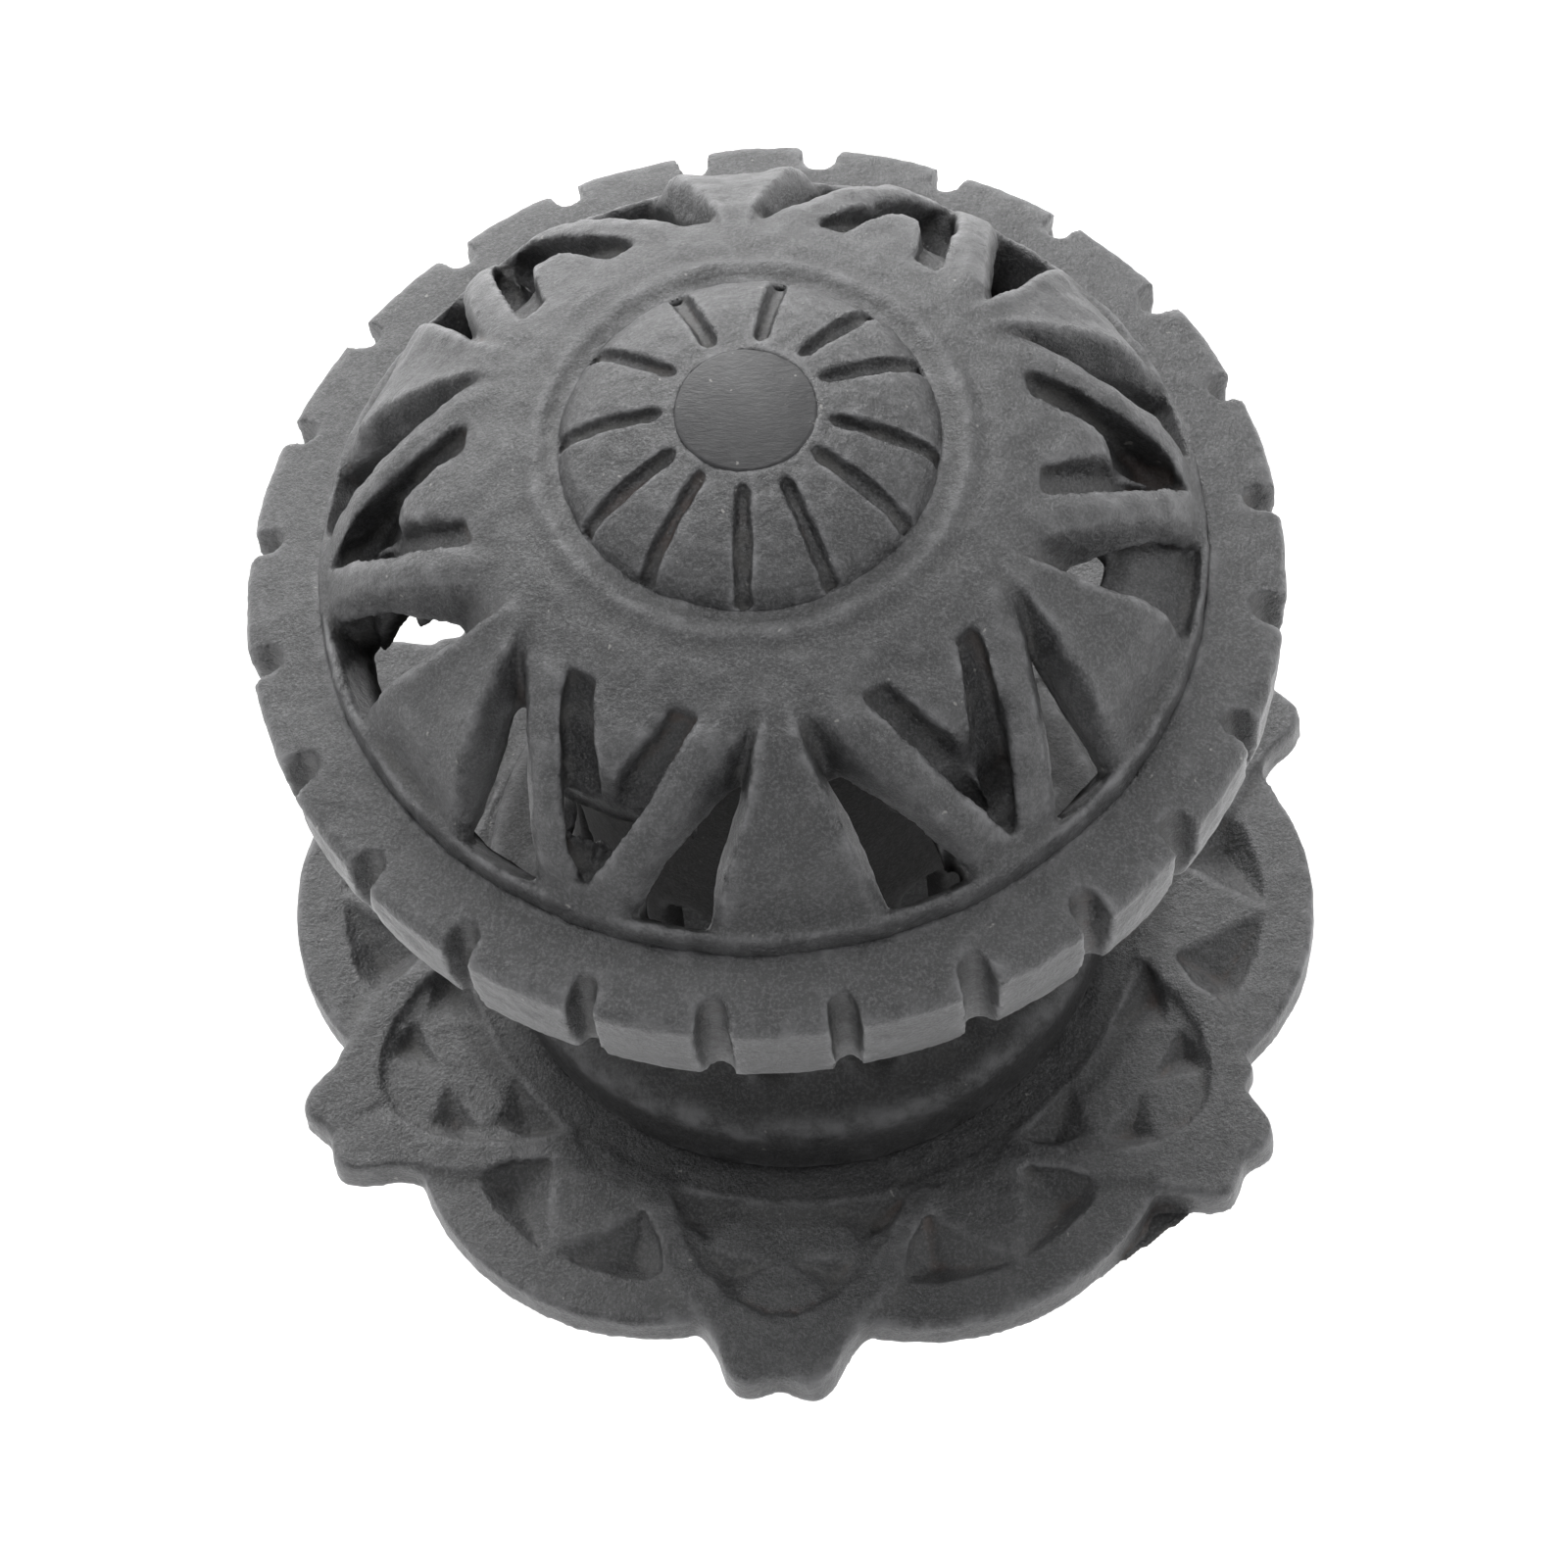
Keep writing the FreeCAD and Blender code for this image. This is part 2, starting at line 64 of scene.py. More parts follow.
scene = bpy.context.scene
UPRIGHT = Vector((0, 0, 1))
KNOB_TURN = 7.5
FLOOR_HEIGHT = -0.085

# %% [markdown]
# ## Small tools
# Sand castings have soft edges and a slightly uneven skin. Each one starts as a few crisp closed shapes,
# made by turning a profile or drawing a plan and raising it. Recesses are cut away, then a fine voxel
# remesh melts the shapes into one skin, as molten iron does. All drawing is in millimetres, and the last
# step brings it down to metres.


# %% Points and profiles
def polar(radius, angle, height=0.0):
    """Point at a radius and an angle in degrees, in millimetres."""
    return Vector((radius * math.cos(math.radians(angle)), radius * math.sin(math.radians(angle)), height))


def mesh_object(name, bm):
    """Closes up a bmesh, turns its faces outward and puts it in the scene."""
    bmesh.ops.remove_doubles(bm, verts=bm.verts, dist=0.0005)
    bmesh.ops.recalc_face_normals(bm, faces=bm.faces)
    data = bpy.data.meshes.new(name)
    bm.to_mesh(data)
    bm.free()
    made = bpy.data.objects.new(name, data)
    scene.collection.objects.link(made)
    return made


def turned(name, profile, steps=256, sweep=360.0, start=0.0, centre=(0, 0, 0)):
    """Turns a closed (radius, height) profile about an upright axis."""
    bm = bmesh.new()
    corners = [bm.verts.new(polar(radius, start, height) + Vector(centre)) for radius, height in profile]
    if sweep < 360:
        bm.faces.new(corners)
    else:
        for first, second in zip(corners, corners[1:] + corners[:1]):
            bm.edges.new((first, second))
    whole = sweep >= 360
    bmesh.ops.spin(bm, geom=bm.verts[:] + bm.edges[:] + bm.faces[:], cent=centre, axis=UPRIGHT,
                   angle=math.radians(sweep), steps=steps, use_merge=whole)
    return mesh_object(name, bm)


def raised(name, plan, bottom, top, grow=0.0):
    """Raises a plan into a prism. The top is grown or shrunk about its own middle by a share."""
    bm = bmesh.new()
    face = bm.faces.new([bm.verts.new((p[0], p[1], bottom)) for p in plan])
    lifted = bmesh.ops.extrude_face_region(bm, geom=[face])
    top_verts = [v for v in lifted["geom"] if isinstance(v, bmesh.types.BMVert)]
    bmesh.ops.translate(bm, verts=top_verts, vec=(0, 0, top - bottom))
    if grow:
        middle = sum((v.co for v in top_verts), Vector()) / len(top_verts)
        bmesh.ops.scale(bm, verts=top_verts, vec=(1 + grow, 1 + grow, 1), space=Matrix.Translation(-middle))
    return mesh_object(name, bm)


def lofted(name, sections):
    """Joins closed sections, each a list of points, one after the other and closes both ends."""
    bm = bmesh.new()
    loops = []
    for section in sections:
        ring = [bm.verts.new(point) for point in section]
        loops.append([bm.edges.new(pair) for pair in zip(ring, ring[1:] + ring[:1])])
        if section is sections[0] or section is sections[-1]:
            bm.faces.new(ring)
    for near, far in zip(loops, loops[1:]):
        bmesh.ops.bridge_loops(bm, edges=near + far)
    return mesh_object(name, bm)


# %% [markdown]
# The pattern repeats round the axis, so copies are turned about it. A fine skin has more triangles than it
# needs on its flatter spots, so the last tool collapses some of those.

# %% Copies, cuts and joins
def turned_copy(source, angle):
    """A second copy of a shape, turned about the axis."""
    copy = source.copy()
    copy.data = source.data.copy()
    copy.data.transform(Matrix.Rotation(math.radians(angle), 4, "Z"))
    scene.collection.objects.link(copy)
    return copy


def around(source, angles):
    """Copies at each angle; the first shape itself is thrown away."""
    copies = [turned_copy(source, angle) for angle in angles]
    bpy.data.objects.remove(source)
    return copies


def joined(name, shapes):
    """Several closed shapes as one mesh."""
    bm = bmesh.new()
    for shape in shapes:
        bm.from_mesh(shape.data)
        bpy.data.objects.remove(shape)
    data = bpy.data.meshes.new(name)
    bm.to_mesh(data)
    bm.free()
    made = bpy.data.objects.new(name, data)
    scene.collection.objects.link(made)
    return made


def apply_modifiers(shape):
    """Makes what the modifiers show the shape's own mesh."""
    bpy.context.view_layer.update()
    seen = shape.evaluated_get(bpy.context.evaluated_depsgraph_get())
    fresh = bpy.data.meshes.new_from_object(seen)
    shape.modifiers.clear()
    shape.data = fresh
    return shape


def melted(shape, voxel, rounds=2):
    """Melts overlapping closed shapes into one skin and softens it a little."""
    remesh = shape.modifiers.new("melt", "REMESH")
    remesh.mode = "VOXEL"
    remesh.voxel_size = voxel
    soften = shape.modifiers.new("soften", "SMOOTH")
    soften.factor = 0.5
    soften.iterations = rounds
    return apply_modifiers(shape)


def cut_away(shape, cutters):
    """Takes every cutter away from a shape, one after the other."""
    for cutter in cutters:
        cut = shape.modifiers.new("cut", "BOOLEAN")
        cut.operation = "DIFFERENCE"
        cut.solver = "MANIFOLD"
        cut.object = cutter
    apply_modifiers(shape)
    for cutter in cutters:
        bpy.data.objects.remove(cutter)
    return shape


def thinned(shape, most=190000):
    """Collapses the flattest spots until a casting keeps at most this many triangles."""
    triangles = sum(len(face.vertices) - 2 for face in shape.data.polygons)
    if triangles > most:
        thin = shape.modifiers.new("thin", "DECIMATE")
        thin.ratio = most / triangles
        apply_modifiers(shape)
    return shape


# %% [markdown]
# ## Skin, wear, painted glint, dirt and painted shade
# A casting's skin is never flat: sand grains, scratches from the file and old wax all show. A little
# seeded noise in three sizes of lump moves the skin, by a tenth or two of a millimetre.


# %% Uneven skin
def read_vectors(collection, field, count):
    """One vector of each item in a mesh's collection, as rows of an array."""
    values = np.empty(count * 3)
    collection.foreach_get(field, values)
    return values.reshape(-1, 3)


def noise_push(points, normals, scale, depth, seed):
    """Moves points along their normals by smooth noise."""
    shift = Vector((seed * 17.3, seed * 5.1, seed * 9.7))
    amount = np.array([noise.noise(Vector(p) * scale + shift) for p in points])
    return points + normals * (amount * depth)[:, None]


def skin(shape, seed, waves):
    """Adds uneven skin: waves is a list of (lumps per millimetre, depth in millimetres)."""
    count = len(shape.data.vertices)
    points = read_vectors(shape.data.vertices, "co", count)
    normals = read_vectors(shape.data.vertex_normals, "vector", count)
    for index, (scale, depth) in enumerate(waves):
        points = noise_push(points, normals, scale, depth, seed + index * 3)
    shape.data.vertices.foreach_set("co", points.ravel())
    shape.data.update()
    return shape


# %% [markdown]
# Hands polish what stands proud, and dust stays in what lies deep. Both are worked out at each point, from
# how far the skin stands out of its own smoothed copy, and stored as wear and cavity values for the
# materials.
# The wear value also brightens edges, partly as a painted highlight.

# %% Wear with painted glint, and cavity
def relaxed(points, ends, degree, rounds):
    """Points after some rounds of averaging with their neighbours."""
    out = points.copy()
    for _ in range(rounds):
        total = np.zeros_like(out)
        np.add.at(total, ends[:, 0], out[ends[:, 1]])
        np.add.at(total, ends[:, 1], out[ends[:, 0]])
        out = 0.4 * out + 0.6 * total / degree
    return out


def mark_wear(shape, fine=4, wide=30, fine_depth=0.06, wide_depth=0.5):
    """Stores wear and cavity, each from 0 to 1, at every point; the wear also feeds a painted highlight on
    edges.
    """
    data = shape.data
    count = len(data.vertices)
    points = read_vectors(data.vertices, "co", count)
    normals = read_vectors(data.vertex_normals, "vector", count)
    ends = np.empty(len(data.edges) * 2, dtype=np.int64)
    data.edges.foreach_get("vertices", ends)
    ends = ends.reshape(-1, 2)
    degree = np.bincount(ends.ravel(), minlength=count).clip(1)[:, None]
    near = relaxed(points, ends, degree, fine)
    far = relaxed(near, ends, degree, wide)
    proud_fine = ((points - near) * normals).sum(1)
    proud_wide = ((points - far) * normals).sum(1)
    wear_and_glint = np.clip(proud_fine / fine_depth, 0, 1) * 0.5 + np.clip(proud_wide / wide_depth, 0, 1) * 0.6
    cavity = np.clip(-proud_fine / fine_depth, 0, 1) * 0.5 + np.clip(-proud_wide / wide_depth, 0, 1) * 0.7
    for label, values in (("wear_and_glint", wear_and_glint), ("cavity", cavity)):
        layer = data.attributes.new(label, "FLOAT", "POINT")
        layer.data.foreach_set("value", np.clip(values, 0, 1).astype(np.float32))
    return shape


# %% [markdown]
# Inside the knob shade falls, so the colour there is darkened towards black as painted shade. A rule on
# radius and height says where. It is simpler than a search for hidden points, and every casting is round.

# %% Painted shade inside
def mark_painted_shade(shape, rule):
    """Stores how much painted shade each point gets, 0 to 1: rule works it out from radius and height."""
    points = read_vectors(shape.data.vertices, "co", len(shape.data.vertices))
    values = np.clip(rule(np.hypot(points[:, 0], points[:, 1]), points[:, 2]), 0, 1)
    layer = shape.data.attributes.new("painted_shade", "FLOAT", "POINT")
    layer.data.foreach_set("value", values.astype(np.float32))


# %% [markdown]
# Every piece ends in the same way, so one function does it: fewer triangles where there are too many,
# metres, smooth shading, a material, and a tie to the body that carries it.

# %% Last step of every piece
def finished(shape, body, stands_for, paint):
    """Brings a piece down to metres, smooths its shading, gives it its material and ties it to its body."""
    thinned(shape)
    shape.data.transform(Matrix.Scale(0.001, 4))
    shape.data.polygons.foreach_set("use_smooth", [True] * len(shape.data.polygons))
    shape.data.materials.clear()
    shape.data.materials.append(paint)
    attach(shape, body)
    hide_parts(stands_for)
    low = [round(min(c[i] for c in shape.bound_box) * 1000, 2) for i in range(3)]
    high = [round(max(c[i] for c in shape.bound_box) * 1000, 2) for i in range(3)]
    print(f"{shape.name}: {len(shape.data.polygons)} faces, from {low} to {high} mm")
    return shape


VOXEL = 0.42
BOSS_VOXEL = 0.23
rng = random.Random(7)

# %% [markdown]
# ## Blackened cast iron
# The castings are iron, blacked and waxed, then handled for years. The base is a near-black grey with a
# dull sheen. Edges and high spots rub to a lighter grey, brightened further as a painted highlight, recesses
# hold grey dust, and the openings show a little brown rust. Inside the knob the colour is darkened towards
# black as painted shade. Everything is procedural: noise on the object's own coordinates, plus the wear,
# cavity and painted-shade values of each point.


# %% Node helpers
def fresh_material(name):
    paint = bpy.data.materials.new(name)
    paint.use_nodes = True
    return paint, paint.node_tree.nodes, paint.node_tree.links, paint.node_tree.nodes["Principled BSDF"]


def noise_node(nodes, links, coordinates, scale, detail=4.0, roughness=0.6):
    node = nodes.new("ShaderNodeTexNoise")
    node.inputs["Scale"].default_value = scale
    node.inputs["Detail"].default_value = detail
    node.inputs["Roughness"].default_value = roughness
    links.new(coordinates, node.inputs["Vector"])
    return node.outputs["Fac"]


def ramp(nodes, links, value, low, high):
    """0 below low, 1 above high, smooth between."""
    node = nodes.new("ShaderNodeMapRange")
    node.interpolation_type = "SMOOTHSTEP"
    node.inputs["From Min"].default_value = low
    node.inputs["From Max"].default_value = high
    links.new(value, node.inputs["Value"])
    return node.outputs["Result"]


def maths(nodes, links, operation, first, second):
    node = nodes.new("ShaderNodeMath")
    node.operation = operation
    for socket, value in zip(node.inputs, (first, second)):
        if isinstance(value, (int, float)):
            socket.default_value = value
        else:
            links.new(value, socket)
    return node.outputs["Value"]


def mixed(nodes, links, share, first, second):
    """Colour between first and second; each is a colour or a socket."""
    node = nodes.new("ShaderNodeMix")
    node.data_type = "RGBA"
    if isinstance(share, (int, float)):
        node.inputs[0].default_value = share
    else:
        links.new(share, node.inputs[0])
    for socket, value in ((node.inputs[6], first), (node.inputs[7], second)):
        if isinstance(value, tuple):
            socket.default_value = (*value, 1.0)
        else:
            links.new(value, socket)
    return node.outputs[2]


# %% [markdown]
# The paint is built up in layers, in the order of the real surface: iron in two tones, fine pale flecks of
# sand skin, rubbed edges made brighter still as a painted highlight, dust, rust, a few white specks, and last
# painted shade, near black, over all of it inside.

# %% Cast iron paint
def cast_iron(name, base, rubbed, dust, rust_share, grain_depth):
    """Blackened iron: base colour, rubbed colour on edges with a brighter painted highlight, dust colour in
    recesses, and painted shade inside.
    """
    paint, nodes, links, surface = fresh_material(name)
    place = nodes.new("ShaderNodeTexCoord").outputs["Object"]
    wear_and_glint = nodes.new("ShaderNodeAttribute")
    wear_and_glint.attribute_name = "wear_and_glint"
    cavity = nodes.new("ShaderNodeAttribute")
    cavity.attribute_name = "cavity"
    broad = noise_node(nodes, links, place, 70, 3)
    patch = noise_node(nodes, links, place, 320, 5)
    grain = noise_node(nodes, links, place, 2200, 4, 0.75)
    speck = noise_node(nodes, links, place, 900, 2, 0.5)
    darker = tuple(channel * 0.8 for channel in base)
    lighter = tuple(channel * 1.25 for channel in base)
    colour = mixed(nodes, links, ramp(nodes, links, broad, 0.38, 0.66), darker, lighter)
    fleck = noise_node(nodes, links, place, 3000, 3, 0.75)
    colour = mixed(nodes, links, maths(nodes, links, "MULTIPLY", ramp(nodes, links, patch, 0.52, 0.75), 0.3),
                   colour, rubbed)
    colour = mixed(nodes, links, maths(nodes, links, "MULTIPLY", ramp(nodes, links, fleck, 0.46, 0.62), 0.75),
                   colour, rubbed)
    # Edges and high spots get a brighter grey, the rubbed colour times 1.6: partly real wear, partly a
    # painted highlight for glints.
    edge = maths(nodes, links, "MULTIPLY", wear_and_glint.outputs["Fac"], ramp(nodes, links, patch, 0.35, 0.7))
    colour = mixed(nodes, links, edge, colour, tuple(channel * 1.6 for channel in rubbed))
    dusty = maths(nodes, links, "MULTIPLY", cavity.outputs["Fac"], ramp(nodes, links, patch, 0.4, 0.65))
    colour = mixed(nodes, links, maths(nodes, links, "MULTIPLY", dusty, 0.5), colour, dust)
    rusty = maths(nodes, links, "MULTIPLY", ramp(nodes, links, cavity.outputs["Fac"], 0.3, 0.9),
                  ramp(nodes, links, broad, 0.52, 0.64))
    colour = mixed(nodes, links, maths(nodes, links, "MULTIPLY", rusty, rust_share), colour,
                   (0.085, 0.045, 0.03))
    white = maths(nodes, links, "MULTIPLY", ramp(nodes, links, speck, 0.73, 0.78), 0.45)
    colour = mixed(nodes, links, white, colour, (0.35, 0.34, 0.32))
    # Painted shade: inside the knob, where shade falls, the colour is darkened to near black; the same value
    # cuts sheen and adds roughness.
    painted_shade = nodes.new("ShaderNodeAttribute")
    painted_shade.attribute_name = "painted_shade"
    colour = mixed(nodes, links, maths(nodes, links, "MULTIPLY", painted_shade.outputs["Fac"], 0.9), colour,
                   (0.006, 0.0055, 0.005))
    links.new(colour, surface.inputs["Base Color"])
    rough = maths(nodes, links, "ADD", maths(nodes, links, "MULTIPLY", patch, 0.3), 0.24)
    rough = maths(nodes, links, "ADD", rough, maths(nodes, links, "MULTIPLY", painted_shade.outputs["Fac"], 0.5))
    rough = maths(nodes, links, "ADD", rough, maths(nodes, links, "MULTIPLY", dusty, 0.3))
    rough = maths(nodes, links, "SUBTRACT", rough, maths(nodes, links, "MULTIPLY", wear_and_glint.outputs["Fac"], 0.1))
    links.new(rough, surface.inputs["Roughness"])
    sheen_lost = maths(nodes, links, "MULTIPLY", painted_shade.outputs["Fac"], 0.47)
    sheen_left = maths(nodes, links, "SUBTRACT", 0.5, sheen_lost)
    links.new(sheen_left, surface.inputs["Specular IOR Level"])
    surface.inputs["IOR"].default_value = 1.6
    height = maths(nodes, links, "ADD", maths(nodes, links, "MULTIPLY", grain, 0.5),
                   maths(nodes, links, "MULTIPLY", patch, 0.6))
    bump = nodes.new("ShaderNodeBump")
    bump.inputs["Strength"].default_value = 0.85
    bump.inputs["Distance"].default_value = grain_depth
    links.new(height, bump.inputs["Height"])
    links.new(bump.outputs["Normal"], surface.inputs["Normal"])
    return paint


iron = cast_iron("blackened_cast_iron", base=(0.025, 0.0252, 0.0258), rubbed=(0.085, 0.085, 0.087),
                 dust=(0.10, 0.097, 0.09), rust_share=0.35, grain_depth=0.0005)
print("made", iron.name)

# %% [markdown]
# ## Filed and oiled iron
# The bolt's head is the same blacked iron, filed flat: fine straight scratches lie across it. Behind the
# door the washers and nut are plain oiled steel, with turned marks and a bit of grey grime.


# %% Bolt paint and steel paint
def filed_iron(name):
    paint, nodes, links, surface = fresh_material(name)
    place = nodes.new("ShaderNodeTexCoord").outputs["Object"]
    stretch = nodes.new("ShaderNodeMapping")
    stretch.inputs["Rotation"].default_value = (0, 0, 0.5)
    stretch.inputs["Scale"].default_value = (1.0, 3.0, 1.0)
    links.new(place, stretch.inputs["Vector"])
    lines = noise_node(nodes, links, stretch.outputs["Vector"], 900, 4, 0.7)
    patch = noise_node(nodes, links, place, 330, 5)
    speck = noise_node(nodes, links, place, 1000, 2, 0.5)
    colour = mixed(nodes, links, ramp(nodes, links, patch, 0.4, 0.68), (0.016, 0.016, 0.017),
                   (0.028, 0.028, 0.029))
    scratched = maths(nodes, links, "MULTIPLY", ramp(nodes, links, lines, 0.5, 0.75), 0.3)
    colour = mixed(nodes, links, scratched, colour, (0.075, 0.075, 0.077))
    flecked = maths(nodes, links, "MULTIPLY", ramp(nodes, links, speck, 0.71, 0.76), 0.5)
    colour = mixed(nodes, links, flecked, colour, (0.32, 0.31, 0.29))
    links.new(colour, surface.inputs["Base Color"])
    links.new(maths(nodes, links, "ADD", maths(nodes, links, "MULTIPLY", lines, 0.3), 0.28),
              surface.inputs["Roughness"])
    surface.inputs["IOR"].default_value = 1.6
    surface.inputs["Specular IOR Level"].default_value = 0.34
    bump = nodes.new("ShaderNodeBump")
    bump.inputs["Strength"].default_value = 0.5
    bump.inputs["Distance"].default_value = 0.00016
    links.new(maths(nodes, links, "ADD", lines, patch), bump.inputs["Height"])
    links.new(bump.outputs["Normal"], surface.inputs["Normal"])
    return paint


def oiled_steel(name):
    paint, nodes, links, surface = fresh_material(name)
    place = nodes.new("ShaderNodeTexCoord").outputs["Object"]
    patch = noise_node(nodes, links, place, 260, 5)
    grain = noise_node(nodes, links, place, 1300, 3, 0.7)
    colour = mixed(nodes, links, ramp(nodes, links, patch, 0.42, 0.66), (0.30, 0.30, 0.31),
                   (0.16, 0.155, 0.15))
    links.new(colour, surface.inputs["Base Color"])
    links.new(maths(nodes, links, "ADD", maths(nodes, links, "MULTIPLY", patch, 0.3), 0.2),
              surface.inputs["Roughness"])
    surface.inputs["Metallic"].default_value = 0.9
    bump = nodes.new("ShaderNodeBump")
    bump.inputs["Strength"].default_value = 0.35
    bump.inputs["Distance"].default_value = 0.00006
    links.new(grain, bump.inputs["Height"])
    links.new(bump.outputs["Normal"], surface.inputs["Normal"])
    return paint


bolt_iron = filed_iron("bolt_iron")
steel = oiled_steel("oiled_steel")
for node_name, node in frame["nodes"].items():
    node.data.materials.clear()
    node.data.materials.append(steel)
print("made", bolt_iron.name, steel.name)

# %% [markdown]
# ## Rose
# The rose is a flat plate cast with raised tracery: six round lobes, and a pointed arch behind each of
# the six tips. The plan is drawn once, raised to full thickness, and the sunk panels and chip-carved pits
# are cut from its face.

# %% Rose outline
ROSE_TOP = 4.5
PLATE_TOP = 3.75
LOBE_RADIUS, LOBE_CENTRE = 25.0, 27.2
tip_angles = [-90 + 60 * k for k in range(6)]
lobe_angles = [-60 + 60 * k for k in range(6)]


def lobe_reach(offset):
    across = LOBE_CENTRE * math.sin(math.radians(offset))
    return LOBE_CENTRE * math.cos(math.radians(offset)) + math.sqrt(LOBE_RADIUS ** 2 - across ** 2)


def at_tip(angle, across, out, height=0.0):
    """Point given across and outward from the axis, for the tip at an angle."""
    a = math.radians(angle)
    x = out * math.cos(a) - across * math.sin(a)
    y = out * math.sin(a) + across * math.cos(a)
    return Vector((x, y, height))


horn = [(-8.4, 48.3), (-7.4, 49.6), (-6.6, 51.0), (-6.1, 52.6), (-5.6, 53.9), (-4.5, 55.1), (-3.2, 55.5),
        (-1.8, 55.1), (0.0, 54.4), (1.8, 55.1), (3.2, 55.5), (4.3, 55.1), (5.3, 53.9), (5.9, 52.6),
        (6.5, 51.0), (7.3, 49.6), (8.4, 48.3)]
tip_drift = dict(zip(tip_angles, (0.2, -2.4, -1.0, 0.5, 1.0, 0.4)))
outline = []
for tip, lobe in zip(tip_angles, lobe_angles):
    outline += [at_tip(tip + tip_drift[tip], across, out) for across, out in horn]
    outline += [polar(lobe_reach(offset) + 0.1, lobe + offset) for offset in np.linspace(-19.8, 19.8, 40)]
plate = raised("plate", outline, 0.0, PLATE_TOP)
ring = turned("ring", [(12, 1), (35.6, 1), (35.6, 3.9), (35.0, 4.25), (12, 4.25)], 192)
print("rose outline has", len(outline), "points")

# %% [markdown]
# Two curved bands make each pointed arch and end in the forked tip. They stand proud of the lobes' bands,
# so these seem to pass under them. Along the middle line of each lobe a low spear-shaped leaf points
# outward.

# %% Rose bands and leaves
band_outer = [(15.6, 33.0), (15.0, 35.6), (14.2, 38.0), (13.0, 41.0), (11.6, 43.8), (10.0, 46.2), (8.4, 47.9),
              (7.2, 49.8)]
band_inner = [(2.6, 50.4), (1.2, 47.9), (2.9, 47.0), (5.6, 45.4), (8.2, 42.6), (10.2, 39.0), (11.3, 36.0),
              (11.9, 33.0)]
tip_head = [(-8.0, 48.6), (-7.1, 49.8), (-6.4, 51.2), (-5.9, 52.6), (-5.3, 53.9), (-4.3, 54.9), (-3.2, 55.2),
            (-1.8, 54.8), (-0.3, 54.1), (-0.25, 51.2), (-0.4, 47.6)]
bands = []
for tip in tip_angles:
    for side in (-1, 1):
        bands.append(raised("band", [at_tip(tip, side * a, o) for a, o in band_outer + band_inner], 1.0,
                            ROSE_TOP))
        bands.append(raised("tip_head", [at_tip(tip + tip_drift[tip], side * -a, o) for a, o in tip_head],
                            1.0, ROSE_TOP))
    web = [(-1.5, 47.6), (1.5, 47.6), (1.5, 54.0), (-1.5, 54.0)]
    bands.append(raised("tip_web", [at_tip(tip, a, o) for a, o in web], 1.0, ROSE_TOP - 0.4))
for lobe in lobe_angles:
    middle = polar(LOBE_CENTRE, lobe)
    bands.append(turned("lobe_band", [(19.9, 1.0), (24.9, 1.0), (24.9, 4.0), (20.1, 4.05)], 40, 92.0,
                        lobe - 46.0, middle))
    spear = [(-7.6, 33.0), (-5.9, 38.6), (-3.0, 43.0), (0.0, 48.2), (3.0, 43.0), (5.9, 38.6), (7.6, 33.0)]
    bands.append(raised("spear", [at_tip(lobe, a, o) for a, o in spear], 1.0, 4.2, -0.06))
print(len(bands), "raised bands and leaves")

# %% [markdown]
# The rest of the relief is chip carving in the pattern that the casting was made from: three- and four-
# cornered pits with sloping facets. Four pits in each arch leave a leaf with four points, and two in each
# lobe leave the spear.

# %% Rose pits


def pit(points, deepest, bottom, top=ROSE_TOP + 1.0):
    """A chip-carved pit: an upside-down pyramid under the given plan, with its tip at a chosen place."""
    bm = bmesh.new()
    high = [bm.verts.new((p[0], p[1], top)) for p in points]
    low = [bm.verts.new((p[0], p[1], PLATE_TOP)) for p in points]
    bm.faces.new(high)
    tip = bm.verts.new((deepest[0], deepest[1], bottom))
    for a, b, c, d in zip(high, high[1:] + high[:1], low[1:] + low[:1], low):
        bm.faces.new((a, b, c, d))
        bm.faces.new((d, c, tip))
    return mesh_object("pit", bm)


def wander(size=0.22):
    return rng.uniform(-size, size)


pits = []
upper = [(3.6, 34.9), (11.9, 33.9), (10.6, 37.2), (7.3, 39.6)]
lower = [(0.3, 41.3), (7.6, 40.4), (6.6, 43.2), (4.5, 45.4)]
for tip in tip_angles:
    for side in (-1, 1):
        for plan, deepest in ((upper, (9.4, 36.4)), (lower, (5.4, 42.4))):
            corners = [at_tip(tip, side * a + wander(), o + wander()) for a, o in plan]
            if side < 0:
                corners.reverse()
            pits.append(pit(corners, at_tip(tip, side * deepest[0], deepest[1]), 2.2))
for lobe in lobe_angles:
    for side in (-1, 1):
        plan = [polar(38.6, lobe + side * 8.3), polar(41.5, lobe + side * 12.4),
                polar(44.4, lobe + side * 14.2)]
        plan += [polar(lobe_reach(side * a) - 5.0, lobe + side * a) for a in (12.4, 9.5, 6.5, 3.5, 0.9)]
        plan = [p + Vector((wander(0.15), wander(0.15), 0)) for p in plan]
        if side < 0:
            plan.reverse()
        pits.append(pit(plan, polar(43.6, lobe + side * 9.8), 1.7))
print(len(pits), "pits")

# %% [markdown]
# A shallow slot on each side of an arch's foot gives the step where a lobe's band goes under it. Then
# everything is melted together, the pits and the centre hole are cut, and the skin is roughened.

